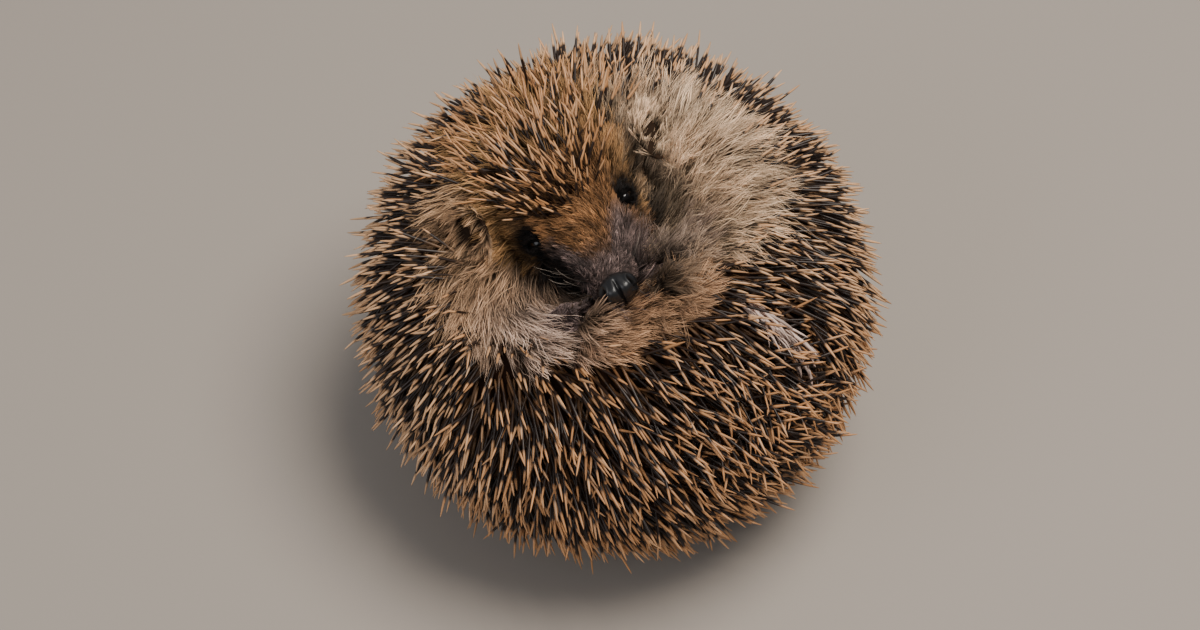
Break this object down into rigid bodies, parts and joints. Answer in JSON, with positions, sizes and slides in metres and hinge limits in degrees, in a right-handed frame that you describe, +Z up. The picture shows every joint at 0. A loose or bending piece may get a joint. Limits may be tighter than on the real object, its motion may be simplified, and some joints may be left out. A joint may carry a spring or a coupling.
{
  "type": "curled european hedgehog",
  "caption": "Still, life-size model of an adult European hedgehog curled into a ball on its back and side, with its face, ears and paws in a furry hollow.",
  "frame": {"origin": "on the floor under the middle of the curled ball's outline", "axes": "+Z up, +X across the ball at right angles to the way the face looks, +Y away from the face along the floor"},
  "size_m": [0.1504, 0.1423, 0.1263],
  "materials": {
    "spine_keratin": "hard cream to tan spines with a near-black band, over dark brown underfur",
    "fur": "short coarse brown fur on the face, longer beige fur round it",
    "paw_skin": "grey-brown skin with thin short hair",
    "ear_skin": "thin grey-brown skin with fine hair",
    "nose_leather": "wet black, finely pebbled",
    "eye": "wet, black, high gloss"
  },
  "bodies": {
    "root": {"head": "fur", "lower_jaw": "fur", "nose": "nose_leather", "eye_left": "eye", "eye_right": "eye", "ear_left": "ear_skin", "ear_right": "ear_skin", "neck": "spine_keratin", "trunk": "spine_keratin", "rump": "spine_keratin", "tail": "fur", "foreleg_left": "paw_skin", "foreleg_right": "paw_skin", "hindleg_left": "paw_skin", "hindleg_right": "paw_skin"}
  },
  "joints": []
}
